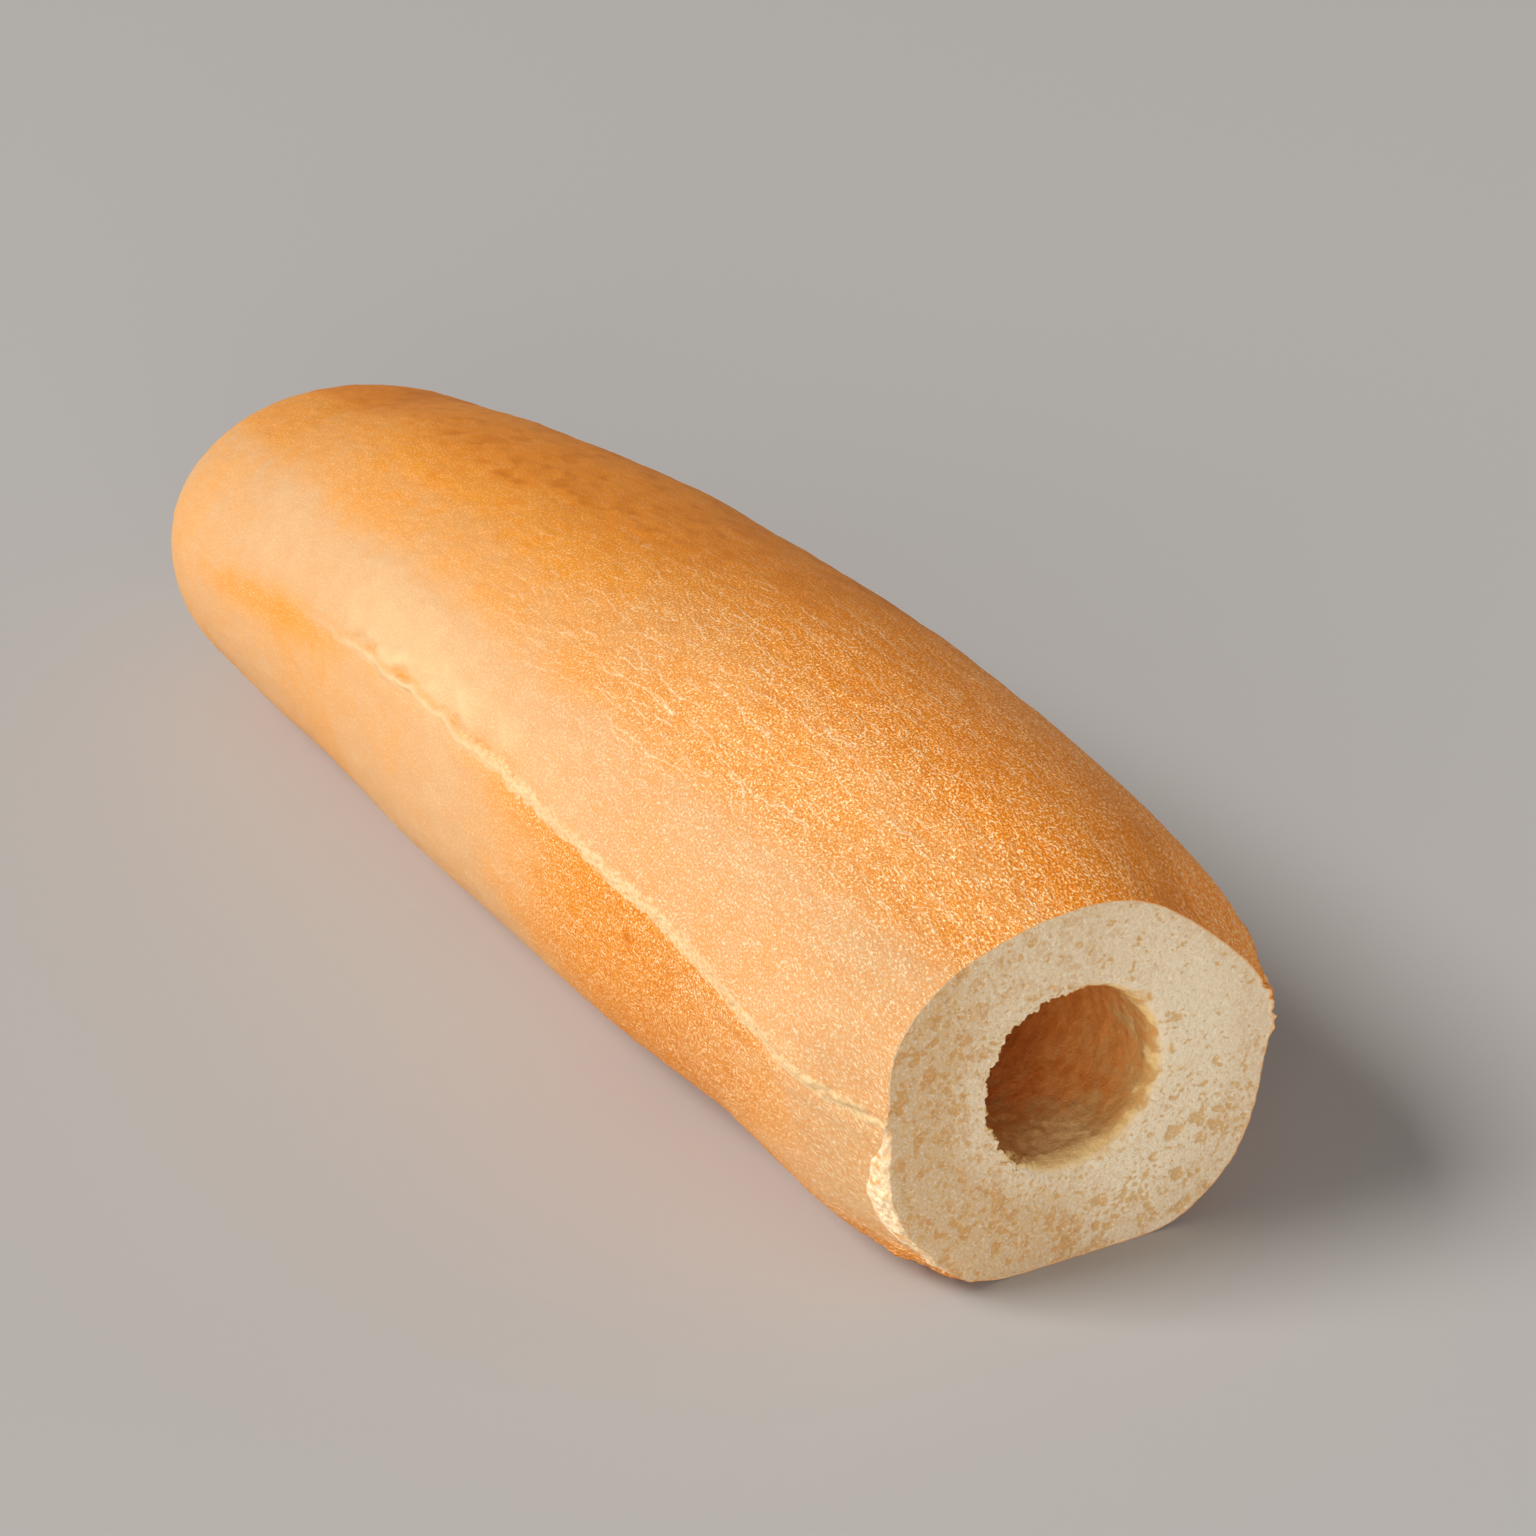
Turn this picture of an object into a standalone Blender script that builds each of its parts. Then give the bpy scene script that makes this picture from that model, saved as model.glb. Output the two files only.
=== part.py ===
# A french hot dog bun: a long roll with one end cut off and a blind round hole down its middle.
# The long way of the bun runs along X with the cut end at +X, Z is up and the flat base lies on Z = 0.

import math

import bmesh
import bpy
from mathutils import Matrix, Vector, noise

# Sizes in millimetres, angles in degrees

# Length from the middle of the cut to the tip
LENGTH = 173.3
# Turn and lean of the knife cut from square
CUT_YAW = 4.9
CUT_PITCH = -1.9
CUT_BLEND = 35.0
# Rounded far tip: its length, the power of its outline and the height of its point
TIP_LENGTH = 29.6
TIP_POWER = 1.95
TIP_HEIGHT = 15.6
# Sideways bow of the whole bun
BOW = -1.9

# Each pair is a share of the length from the cut and a size there
HALF_WIDTH = (
    (0.0, 19.7), (0.06, 24.4), (0.15, 25.0), (0.3, 26.1), (0.5, 25.9), (0.7, 24.4),
    (0.85, 24.1), (1.0, 23.7),
)
TOP_HEIGHT = (
    (0.0, 36.8), (0.06, 40.9), (0.15, 43.9), (0.3, 46.1), (0.5, 45.0), (0.7, 41.2),
    (0.85, 35.6), (1.0, 34.6),
)
WIDEST_HEIGHT = ((0.0, 22.7), (0.15, 22.2), (0.5, 21.7), (0.85, 17.0), (1.0, 16.8))
# How much lower the widest line lies on the right side of the cut
RIGHT_DROP = 3.9
DROP_FADE = 0.14
# How far the round underside would reach below the table were it not flat
FLAT_DEPTH = ((0.0, 1.05), (0.06, 1.2), (0.15, 1.45), (0.5, 1.3), (1.0, 1.2))
# Height of the line that the pan's edge left round the bun
SEAM_HEIGHT = (
    (0.0, 19.0), (0.05, 22.4), (0.11, 25.2), (0.2, 27.8), (0.35, 29.7), (0.5, 30.8),
    (0.61, 30.0), (0.75, 26.0), (0.88, 19.5), (1.0, 17.5),
)

# Powers of the rounded section in its four quarters: 2 is round and more is squarer.
# The order is top right, top left, low right, low left.
CUT_POWERS = (1.65, 2.08, 2.52, 2.6)
BODY_POWERS = (2.0, 2.05, 2.0, 2.06)
TOP_BLEND = 0.2
LOW_BLEND = 0.18
BASE_EDGE_RADIUS = 0.7

# The hole for the sausage
HOLE_RADIUS = 8.9
HOLE_END_RADIUS = 7.6
HOLE_DEPTH = 135.0
HOLE_Y = -1.2
HOLE_Z = 19.4
HOLE_RISE = 0.6
HOLE_RIM = 0.5

# Seam relief: a groove under a soft lip, with a small ridge below it
SEAM_GROOVE = 0.55
SEAM_LIP = 0.5
SEAM_RIDGE = 0.3
FLANGE = 0.45

# Torn edge at the low left of the cut, and how far the ragged crust stands proud beside it
TORN_DEPTH = 3.0
TORN_WIDTH = 0.7
TORN_CRUST = 0.8

# Mesh divisions
DOME_COLUMNS = 44
BASE_COLUMNS = 36
SEAM_CLUSTER = 0.62
BODY_RINGS = 34
TIP_RINGS = 14
FACE_RINGS = 4
WALL_RINGS = 9
END_RINGS = 4


def clamp(value, low, high):
    return max(low, min(high, value))


def smoothstep(low, high, value):
    t = clamp((value - low) / (high - low), 0.0, 1.0)
    return t * t * (3.0 - 2.0 * t)


def bell(value, middle, width):
    return math.exp(-((value - middle) / width) ** 2)


def along(table, share):
    # Smooth line through the pairs of a table that never overshoots them
    share = clamp(share, table[0][0], table[-1][0])
    count = len(table)
    slopes = []
    for i in range(count - 1):
        slopes.append((table[i + 1][1] - table[i][1]) / (table[i + 1][0] - table[i][0]))
    tangents = [slopes[0]]
    for i in range(1, count - 1):
        if slopes[i - 1] * slopes[i] <= 0.0:
            tangents.append(0.0)
        else:
            tangents.append(2.0 * slopes[i - 1] * slopes[i] / (slopes[i - 1] + slopes[i]))
    tangents.append(slopes[-1])
    i = 0
    while i < count - 2 and share > table[i + 1][0]:
        i += 1
    step = table[i + 1][0] - table[i][0]
    t = (share - table[i][0]) / step
    rise = table[i + 1][1] - table[i][1]
    a = tangents[i] * step - rise
    b = rise - tangents[i + 1] * step
    return table[i][1] + rise * t + t * (1.0 - t) * (a * (1.0 - t) + b * t)


def soft_floor(z):
    # Flattens everything below the table with a rounded edge
    if z <= -BASE_EDGE_RADIUS:
        return 0.0
    if z >= BASE_EDGE_RADIUS:
        return z
    return (z + BASE_EDGE_RADIUS) ** 2 / (4.0 * BASE_EDGE_RADIUS)


def section_point(share, angle):
    # Point of the full section, before the tip closes it
    c = math.cos(angle)
    s = math.sin(angle)
    up = 0.5 + 0.5 * clamp(1.6 * s, -1.0, 1.0)
    right = 0.5 + 0.5 * clamp(1.6 * c, -1.0, 1.0)
    blends = (TOP_BLEND, TOP_BLEND, LOW_BLEND, LOW_BLEND)
    powers = []
    for blend, cut, body in zip(blends, CUT_POWERS, BODY_POWERS):
        powers.append(cut + (body - cut) * smoothstep(0.0, blend, share))
    top_power = right * powers[0] + (1.0 - right) * powers[1]
    low_power = right * powers[2] + (1.0 - right) * powers[3]
    power = up * top_power + (1.0 - up) * low_power
    drop = RIGHT_DROP * (1.0 - smoothstep(0.0, DROP_FADE, share))
    widest = along(WIDEST_HEIGHT, share) - drop * right
    y = along(HALF_WIDTH, share) * math.copysign(abs(c) ** (2.0 / power), c)
    if s >= 0.0:
        z = widest + (along(TOP_HEIGHT, share) - widest) * abs(s) ** (2.0 / power)
    else:
        z = widest - (widest + along(FLAT_DEPTH, share)) * abs(s) ** (2.0 / power)
    return y, soft_floor(z)


def tip_scale(share):
    depth = (share * LENGTH - (LENGTH - TIP_LENGTH)) / TIP_LENGTH
    if depth <= 0.0:
        return 1.0
    return max(0.0, 1.0 - depth ** TIP_POWER) ** (1.0 / TIP_POWER)


def seam_angle(share, side):
    # Angle at which the section reaches the seam's height on one side
    height = along(SEAM_HEIGHT, share)
    low = math.radians(-40.0)
    high = math.radians(70.0)
    for _ in range(30):
        middle = 0.5 * (low + high)
        angle = middle if side > 0 else math.pi - middle
        if section_point(share, angle)[1] < height:
            low = middle
        else:
            high = middle
    middle = 0.5 * (low + high)
    return middle if side > 0 else math.pi - middle


def column_angles(share):
    # Columns run from the right seam over the dome to the left seam and back under the base
    right = seam_angle(share, 1)
    left = seam_angle(share, -1)
    angles = []
    for i in range(DOME_COLUMNS):
        u = i / DOME_COLUMNS
        u -= SEAM_CLUSTER * math.sin(2.0 * math.pi * u) / (2.0 * math.pi)
        angles.append(right + (left - right) * u)
    for i in range(BASE_COLUMNS):
        u = i / BASE_COLUMNS
        u -= SEAM_CLUSTER * math.sin(2.0 * math.pi * u) / (2.0 * math.pi)
        angles.append(left + (right + 2.0 * math.pi - left) * u)
    return angles


def seam_relief(share, angle, y, z):
    # Height of the seam's lip, groove and ridge above the smooth skin
    over = z - along(SEAM_HEIGHT, share)
    if abs(over) > 14.0:
        return 0.0
    fade = 1.0 - smoothstep(0.58, 0.8, share)
    place = Vector((share * LENGTH * 0.11, 3.0 if y > 0.0 else -3.0, 0.0))
    strength = fade * (0.9 + 0.5 * noise.noise(place))
    groove = -SEAM_GROOVE * bell(over, 0.0, 0.6)
    lip = SEAM_LIP * bell(over, 1.4, 1.1)
    ridge = SEAM_RIDGE * bell(over, -1.3, 0.8)
    if y > 0.0:
        flange = FLANGE * bell(over, 0.6, 2.2) * (1.0 - smoothstep(0.02, 0.12, share))
    else:
        flange = 0.0
    crumbs = 0.35 * bell(over, 0.3, 2.6) * noise.noise(Vector((share * LENGTH * 0.35, y * 0.2, z * 0.45)))
    if y < 0.0:
        crumbs *= 1.0 + 1.2 * bell(share, 0.45, 0.12)
    return strength * (groove + lip + ridge + crumbs) + flange


def unevenness(x, y, z):
    # Broad soft swells of the baked skin, none on the flat base
    broad = 0.42 * noise.noise(Vector((x, y, z)) * 0.042 + Vector((3.1, 7.7, 1.3)))
    fine = 0.16 * noise.noise(Vector((x, y, z)) * 0.12 + Vector((9.4, 2.2, 5.8)))
    return (broad + fine) * smoothstep(0.2, 5.0, z)


def cut_x(y, z):
    # The cut plane, turned and leant a little
    return math.tan(math.radians(CUT_YAW)) * y + math.tan(math.radians(CUT_PITCH)) * (z - HOLE_Z)


def torn_share(y, z):
    # One at the low left corner of the cut, fading to nothing round it
    angle = math.degrees(math.atan2(z - HOLE_Z, y - HOLE_Y)) % 360.0
    return smoothstep(172.0, 205.0, angle) * (1.0 - smoothstep(216.0, 238.0, angle))


def ragged_crust(distance, y, z):
    # Crust that stands a little proud beside the torn corner
    angle = math.degrees(math.atan2(z - HOLE_Z, y - HOLE_Y)) % 360.0
    near = 1.0 - smoothstep(3.0, 12.0, distance)
    rough = 0.7 + 0.8 * noise.noise(Vector((distance * 0.4, y * 0.4, z * 0.4)))
    return TORN_CRUST * near * bell(angle, 231.0, 11.0) * rough


def skin_point(distance, angle):
    # Point of the crust at a distance from the cut, measured along the bun
    share = distance / LENGTH
    y, z = section_point(share, angle)
    step = 0.01
    y1, z1 = section_point(share, angle + step)
    y0, z0 = section_point(share, angle - step)
    normal = Vector((z1 - z0, -(y1 - y0)))
    if normal.length > 1e-9:
        normal.normalize()
    else:
        normal = Vector((0.0, 1.0))
    lift = unevenness(distance, y, z) + seam_relief(share, angle, y, z) + ragged_crust(distance, y, z)
    y += normal.x * lift
    z = max(0.0, z + normal.y * lift * smoothstep(0.0, 1.0, z))
    scale = tip_scale(share)
    y *= scale
    z = TIP_HEIGHT + (z - TIP_HEIGHT) * scale
    blend = clamp(1.0 - distance / CUT_BLEND, 0.0, 1.0)
    x = -distance + cut_x(y, z) * blend
    y += BOW * 4.0 * share * (1.0 - share)
    return Vector((x, y, z))


def ring_distances():
    body = LENGTH - TIP_LENGTH
    distances = []
    for i in range(BODY_RINGS):
        distances.append(body * (i / BODY_RINGS) ** 1.35)
    for i in range(TIP_RINGS):
        distances.append(body + TIP_LENGTH * math.sin(0.5 * math.pi * i / TIP_RINGS))
    return distances


def skin_ring(distance):
    points = []
    for angle in column_angles(distance / LENGTH):
        y, z = section_point(distance / LENGTH, angle)
        torn = TORN_DEPTH * torn_share(y, z)
        shifted = distance + torn * clamp(1.0 - distance / 10.0, 0.0, 1.0)
        points.append(skin_point(shifted, angle))
    return points


def hole_centre(depth):
    return Vector((-depth, HOLE_Y, HOLE_Z + HOLE_RISE * depth / HOLE_DEPTH))


def hole_radius(depth, angle):
    # Nearly round, narrowing slowly, with a wall as rough as torn crumb
    radius = HOLE_RADIUS + (HOLE_END_RADIUS - HOLE_RADIUS) * depth / HOLE_DEPTH
    place = Vector((depth * 0.11, 2.2 * math.cos(angle), 2.2 * math.sin(angle)))
    return radius + 0.35 * noise.noise(place) + 0.15 * noise.noise(place * 2.7)


def face_rings(rim):
    # Rings of the cut from the crust's edge to the hole's edge
    rings = []
    for i in range(1, FACE_RINGS + 1):
        points = []
        for corner in rim:
            angle = math.atan2(corner.z - HOLE_Z, corner.y - HOLE_Y)
            inner = hole_radius(0.0, angle) + HOLE_RIM
            outer = math.hypot(corner.y - HOLE_Y, corner.z - HOLE_Z)
            if i == 1:
                reach = outer - TORN_WIDTH
            else:
                reach = outer - TORN_WIDTH + (inner - outer + TORN_WIDTH) * (i - 1) / (FACE_RINGS - 1)
            y = HOLE_Y + reach * math.cos(angle)
            z = HOLE_Z + reach * math.sin(angle)
            dent = 0.25 * noise.noise(Vector((0.0, y, z)) * 0.22)
            points.append(Vector((cut_x(y, z) + dent, y, z)))
        rings.append(points)
    return rings


def hole_rings(rim):
    # Rings of the hole's wall and of its rounded end
    angles = [math.atan2(corner.z - HOLE_Z, corner.y - HOLE_Y) for corner in rim]
    rings = []
    for i in range(WALL_RINGS):
        depth = HOLE_RIM + (HOLE_DEPTH - HOLE_END_RADIUS - HOLE_RIM) * (i / (WALL_RINGS - 1)) ** 1.3
        points = []
        for angle in angles:
            centre = hole_centre(depth)
            radius = hole_radius(depth, angle)
            y = centre.y + radius * math.cos(angle)
            z = centre.z + radius * math.sin(angle)
            blend = clamp(1.0 - depth / CUT_BLEND, 0.0, 1.0)
            points.append(Vector((centre.x + cut_x(y, z) * blend, y, z)))
        rings.append(points)
    for i in range(1, END_RINGS):
        turn = 0.5 * math.pi * i / END_RINGS
        depth = HOLE_DEPTH - HOLE_END_RADIUS * (1.0 - math.sin(turn))
        points = []
        for angle in angles:
            centre = hole_centre(depth)
            radius = hole_radius(HOLE_DEPTH - HOLE_END_RADIUS, angle) * math.cos(turn)
            points.append(centre + Vector((0.0, radius * math.cos(angle), radius * math.sin(angle))))
        rings.append(points)
    return rings


def extrude_ring(bm, ring, points):
    # Extrudes a closed ring of edges and moves the new corners to their places
    edges = []
    count = len(ring)
    for i in range(count):
        edges.append(bm.edges.get((ring[i], ring[(i + 1) % count])))
    result = bmesh.ops.extrude_edge_only(bm, edges=edges)
    fresh = {item for item in result["geom"] if isinstance(item, bmesh.types.BMVert)}
    following = []
    for corner in ring:
        for edge in corner.link_edges:
            other = edge.other_vert(corner)
            if other in fresh:
                following.append(other)
                break
    for corner, place in zip(following, points):
        corner.co = place
    return following


def close_ring(bm, ring, place):
    # Draws a ring together to one point
    centre = bm.verts.new(place)
    count = len(ring)
    for i in range(count):
        bm.faces.new((ring[i], ring[(i + 1) % count], centre))


def build_bun():
    bm = bmesh.new()
    columns = DOME_COLUMNS + BASE_COLUMNS
    circle = bmesh.ops.create_circle(bm, cap_ends=False, radius=HOLE_RADIUS, segments=columns)
    distances = ring_distances()
    rim_points = skin_ring(distances[0])
    rim = sorted(circle["verts"], key=lambda corner: math.atan2(corner.co.y, corner.co.x) % (2.0 * math.pi))
    for corner, place in zip(rim, rim_points):
        corner.co = place
    ring = rim
    for distance in distances[1:]:
        ring = extrude_ring(bm, ring, skin_ring(distance))
    close_ring(bm, ring, skin_point(LENGTH, 0.0))
    ring = rim
    for points in face_rings(rim_points) + hole_rings(rim_points):
        ring = extrude_ring(bm, ring, points)
    close_ring(bm, ring, hole_centre(HOLE_DEPTH))
    bmesh.ops.recalc_face_normals(bm, faces=bm.faces[:])
    for face in bm.faces:
        face.smooth = True
    count = len(rim)
    for i in range(count):
        bm.edges.get((rim[i], rim[(i + 1) % count])).smooth = False
    return bm


def settle(bm):
    # Puts the middle of the base at the origin and turns millimetres into metres
    low = Vector([min(corner.co[axis] for corner in bm.verts) for axis in range(3)])
    high = Vector([max(corner.co[axis] for corner in bm.verts) for axis in range(3)])
    middle = Vector((0.5 * (low.x + high.x), 0.5 * (low.y + high.y), low.z))
    bmesh.ops.translate(bm, vec=-middle, verts=bm.verts[:])
    bmesh.ops.transform(bm, matrix=Matrix.Scale(0.001, 4), verts=bm.verts[:])


def crust_material():
    material = bpy.data.materials.new("crust")
    material.use_nodes = True
    shader = material.node_tree.nodes["Principled BSDF"]
    shader.inputs["Base Color"].default_value = (0.72, 0.40, 0.15, 1.0)
    shader.inputs["Roughness"].default_value = 0.6
    shader.inputs["Metallic"].default_value = 0.0
    return material


def main():
    for item in list(bpy.data.objects):
        bpy.data.objects.remove(item, do_unlink=True)
    bm = build_bun()
    settle(bm)
    mesh = bpy.data.meshes.new("bun")
    bm.to_mesh(mesh)
    bm.free()
    bun = bpy.data.objects.new("bun", mesh)
    bpy.context.scene.collection.objects.link(bun)
    mesh.materials.append(crust_material())


main()
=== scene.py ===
import math
import random
import bpy
import numpy as np
from mathutils import Matrix, Vector, noise


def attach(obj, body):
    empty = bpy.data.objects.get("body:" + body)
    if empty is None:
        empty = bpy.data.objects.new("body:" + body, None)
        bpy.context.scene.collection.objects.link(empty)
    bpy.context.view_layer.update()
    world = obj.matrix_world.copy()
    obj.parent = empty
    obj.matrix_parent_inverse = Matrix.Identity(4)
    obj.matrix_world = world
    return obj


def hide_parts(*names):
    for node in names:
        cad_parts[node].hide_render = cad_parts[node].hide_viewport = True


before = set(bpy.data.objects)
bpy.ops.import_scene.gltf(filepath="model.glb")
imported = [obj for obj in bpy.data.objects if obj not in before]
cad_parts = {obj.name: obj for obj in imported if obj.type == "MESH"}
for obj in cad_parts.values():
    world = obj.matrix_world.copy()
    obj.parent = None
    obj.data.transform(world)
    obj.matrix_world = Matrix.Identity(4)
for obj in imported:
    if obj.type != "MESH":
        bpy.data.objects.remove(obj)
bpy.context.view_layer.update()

# Looks of the french hot dog bun: baked crust, the seam left by the pan, the cut and its toasted hole.
# Shapes are worked out in millimetres from the middle of the cut, with the bun running towards -X.
# A share is a distance from the cut as a part of the bun's length. Angles run round the section,
# from 0 on the far side over 90 on top.

MM = 0.001
# Where the middle of the cut lies in the frame
CUT_X = 85.69
CUT_Y = 1.674

# Form of the bun, with the solid's own sizes
LENGTH = 173.3
CUT_YAW = 4.9
CUT_PITCH = -1.9
CUT_BLEND = 35.0
TIP_LENGTH = 29.6
TIP_POWER = 1.95
TIP_HEIGHT = 15.6
BOW = -1.9
HALF_WIDTH = (
    (0.0, 19.7), (0.06, 24.4), (0.15, 25.0), (0.3, 26.1), (0.5, 25.9), (0.7, 24.4),
    (0.85, 24.1), (1.0, 23.7),
)
TOP_HEIGHT = (
    (0.0, 36.8), (0.06, 40.9), (0.15, 43.9), (0.3, 46.1), (0.5, 45.0), (0.7, 41.2),
    (0.85, 35.6), (1.0, 34.6),
)
WIDEST_HEIGHT = ((0.0, 22.7), (0.15, 22.2), (0.5, 21.7), (0.85, 17.0), (1.0, 16.8))
RIGHT_DROP = 3.9
DROP_FADE = 0.14
FLAT_DEPTH = ((0.0, 1.05), (0.06, 1.2), (0.15, 1.45), (0.5, 1.3), (1.0, 1.2))
SEAM_HEIGHT = (
    (0.0, 19.0), (0.05, 22.4), (0.11, 25.2), (0.2, 27.8), (0.35, 29.7), (0.5, 30.1),
    (0.61, 28.0), (0.75, 24.4), (0.88, 19.5), (1.0, 17.5),
)
CUT_POWERS = (1.65, 2.08, 2.52, 2.6)
BODY_POWERS = (2.0, 2.05, 2.0, 2.06)
TOP_BLEND = 0.2
LOW_BLEND = 0.18
BASE_EDGE_RADIUS = 0.7
HOLE_RADIUS = 8.9
HOLE_END_RADIUS = 7.6
HOLE_DEPTH = 135.0
HOLE_Y = -1.2
HOLE_Z = 19.4
HOLE_RISE = 0.6
# Direction in degrees, round the hole, of the low side of its mouth
LOW_SIDE = 262.0
# Height round which the crust's angles are measured
AXIS_HEIGHT = 20.0
# How far the crust below the seam is baked, for each share
BAND_BROWNING = (
    (0.0, 0.05), (0.04, 0.12), (0.08, 0.32), (0.15, 0.50), (0.22, 0.64), (0.30, 0.47), (0.38, 0.21),
    (0.46, 0.19), (0.52, 0.22), (0.6, 0.26), (0.7, 0.27), (0.82, 0.26), (1.0, 0.24),
)
# Lip that stands out on the far side by the cut, and the torn corner
FLANGE = 0.45
TORN_DEPTH = 3.0
TORN_WIDTH = 0.7
TORN_CRUST = 0.8

# Camera, with its target in millimetres from the middle of the cut
CAMERA_AZIMUTH = 58.566
CAMERA_ELEVATION = 27.905
CAMERA_ROLL = -0.37
CAMERA_DISTANCE = 339.595
CAMERA_TARGET = (-51.755, -1.363, 27.784)
CAMERA_LENS = 79.69

# Mesh divisions
DOME_COLUMNS = 232
BASE_COLUMNS = 168
BODY_ROWS = 300
TIP_ROWS = 84
EDGE_ROWS = 18
PLANE_ROWS = 64
FILLET_ROWS = 12
LIP_ROWS = 23
LIP_DEPTH = 3.2
WALL_ROWS = 95
WALL_DEPTH = 22.0
BORE_COLUMNS = 160
BORE_ROWS = 100
BORE_END_ROWS = 14


# Small helpers on arrays

def smooth(low, high, value):
    t = np.clip((value - low) / (high - low), 0.0, 1.0)
    return t * t * (3.0 - 2.0 * t)


def bell(value, middle, width):
    return np.exp(-((value - middle) / width) ** 2)


def along(table, share):
    # Smooth line through the pairs of a table that never overshoots them
    places = np.array([pair[0] for pair in table])
    sizes = np.array([pair[1] for pair in table])
    share = np.clip(share, places[0], places[-1])
    slopes = np.diff(sizes) / np.diff(places)
    tangents = [slopes[0]]
    for before, after in zip(slopes[:-1], slopes[1:]):
        tangents.append(0.0 if before * after <= 0.0 else 2.0 * before * after / (before + after))
    tangents = np.array(tangents + [slopes[-1]])
    i = np.clip(np.searchsorted(places, share) - 1, 0, len(table) - 2)
    step = places[i + 1] - places[i]
    t = (share - places[i]) / step
    rise = sizes[i + 1] - sizes[i]
    a = tangents[i] * step - rise
    b = rise - tangents[i + 1] * step
    return sizes[i] + rise * t + t * (1.0 - t) * (a * (1.0 - t) + b * t)


CORNERS = np.array([
    (1, 1, 0), (-1, 1, 0), (1, -1, 0), (-1, -1, 0), (1, 0, 1), (-1, 0, 1), (1, 0, -1), (-1, 0, -1),
    (0, 1, 1), (0, -1, 1), (0, 1, -1), (0, -1, -1), (1, 1, 0), (-1, 1, 0), (0, -1, 1), (0, -1, -1),
], dtype=float)


def mixed(ix, iy, iz, seed):
    # A whole number without pattern for each lattice corner
    h = (ix * 374761393 + iy * 668265263 + iz * 1440662683 + seed * 974634777) & 0xFFFFFFFF
    h = ((h ^ (h >> 13)) * 1274126177) & 0xFFFFFFFF
    return h ^ (h >> 16)


def swirl(x, y, z=0.0, seed=0):
    # Gradient noise from about -1 to 1
    x, y, z = np.broadcast_arrays(np.asarray(x, float), np.asarray(y, float), np.asarray(z, float))
    floor_x, floor_y, floor_z = np.floor(x), np.floor(y), np.floor(z)
    fx, fy, fz = x - floor_x, y - floor_y, z - floor_z
    ix, iy, iz = floor_x.astype(np.int64), floor_y.astype(np.int64), floor_z.astype(np.int64)
    ux, uy, uz = [f * f * f * (f * (f * 6.0 - 15.0) + 10.0) for f in (fx, fy, fz)]
    total = np.zeros(x.shape)
    for dx in (0, 1):
        for dy in (0, 1):
            for dz in (0, 1):
                g = CORNERS[mixed(ix + dx, iy + dy, iz + dz, seed) & 15]
                dot = g[..., 0] * (fx - dx) + g[..., 1] * (fy - dy) + g[..., 2] * (fz - dz)
                weight = (ux if dx else 1.0 - ux) * (uy if dy else 1.0 - uy) * (uz if dz else 1.0 - uz)
                total += weight * dot
    return 1.1 * total


def layered(x, y, z=0.0, seed=0, layers=3):
    total = 0.0
    size = 1.0
    for i in range(layers):
        total = total + size * swirl(x * 2.0 ** i, y * 2.0 ** i, z * 2.0 ** i + 3.7 * i, seed + i)
        size *= 0.5
    return total


# The bun's form

def soft_floor(z):
    radius = BASE_EDGE_RADIUS
    rounded = (z + radius) ** 2 / (4.0 * radius)
    return np.where(z <= -radius, 0.0, np.where(z >= radius, z, rounded))


def section(share, angle):
    # Points of the full section, before the tip closes it
    c, s = np.cos(angle), np.sin(angle)
    up = 0.5 + 0.5 * np.clip(1.6 * s, -1.0, 1.0)
    right = 0.5 + 0.5 * np.clip(1.6 * c, -1.0, 1.0)
    blends = (TOP_BLEND, TOP_BLEND, LOW_BLEND, LOW_BLEND)
    powers = []
    for blend, cut, body in zip(blends, CUT_POWERS, BODY_POWERS):
        powers.append(cut + (body - cut) * smooth(0.0, blend, share))
    top_power = right * powers[0] + (1.0 - right) * powers[1]
    low_power = right * powers[2] + (1.0 - right) * powers[3]
    power = up * top_power + (1.0 - up) * low_power
    widest = along(WIDEST_HEIGHT, share) - RIGHT_DROP * (1.0 - smooth(0.0, DROP_FADE, share)) * right
    y = along(HALF_WIDTH, share) * np.sign(c) * np.abs(c) ** (2.0 / power)
    above = widest + (along(TOP_HEIGHT, share) - widest) * np.abs(s) ** (2.0 / power)
    below = widest - (widest + along(FLAT_DEPTH, share)) * np.abs(s) ** (2.0 / power)
    return y, soft_floor(np.where(s >= 0.0, above, below))


def tip_scale(share):
    depth = np.clip((share * LENGTH - (LENGTH - TIP_LENGTH)) / TIP_LENGTH, 0.0, 1.0)
    return np.maximum(0.0, 1.0 - depth ** TIP_POWER) ** (1.0 / TIP_POWER)


def seam_angle(share, side):
    # Angle at which the section reaches the seam's height on one side
    height = along(SEAM_HEIGHT, share)
    low = np.full(share.shape, math.radians(-40.0))
    high = np.full(share.shape, math.radians(70.0))
    for _ in range(30):
        middle = 0.5 * (low + high)
        angle = middle if side > 0 else math.pi - middle
        below = section(share, angle)[1] < height
        low = np.where(below, middle, low)
        high = np.where(below, high, middle)
    middle = 0.5 * (low + high)
    return middle if side > 0 else math.pi - middle


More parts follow.
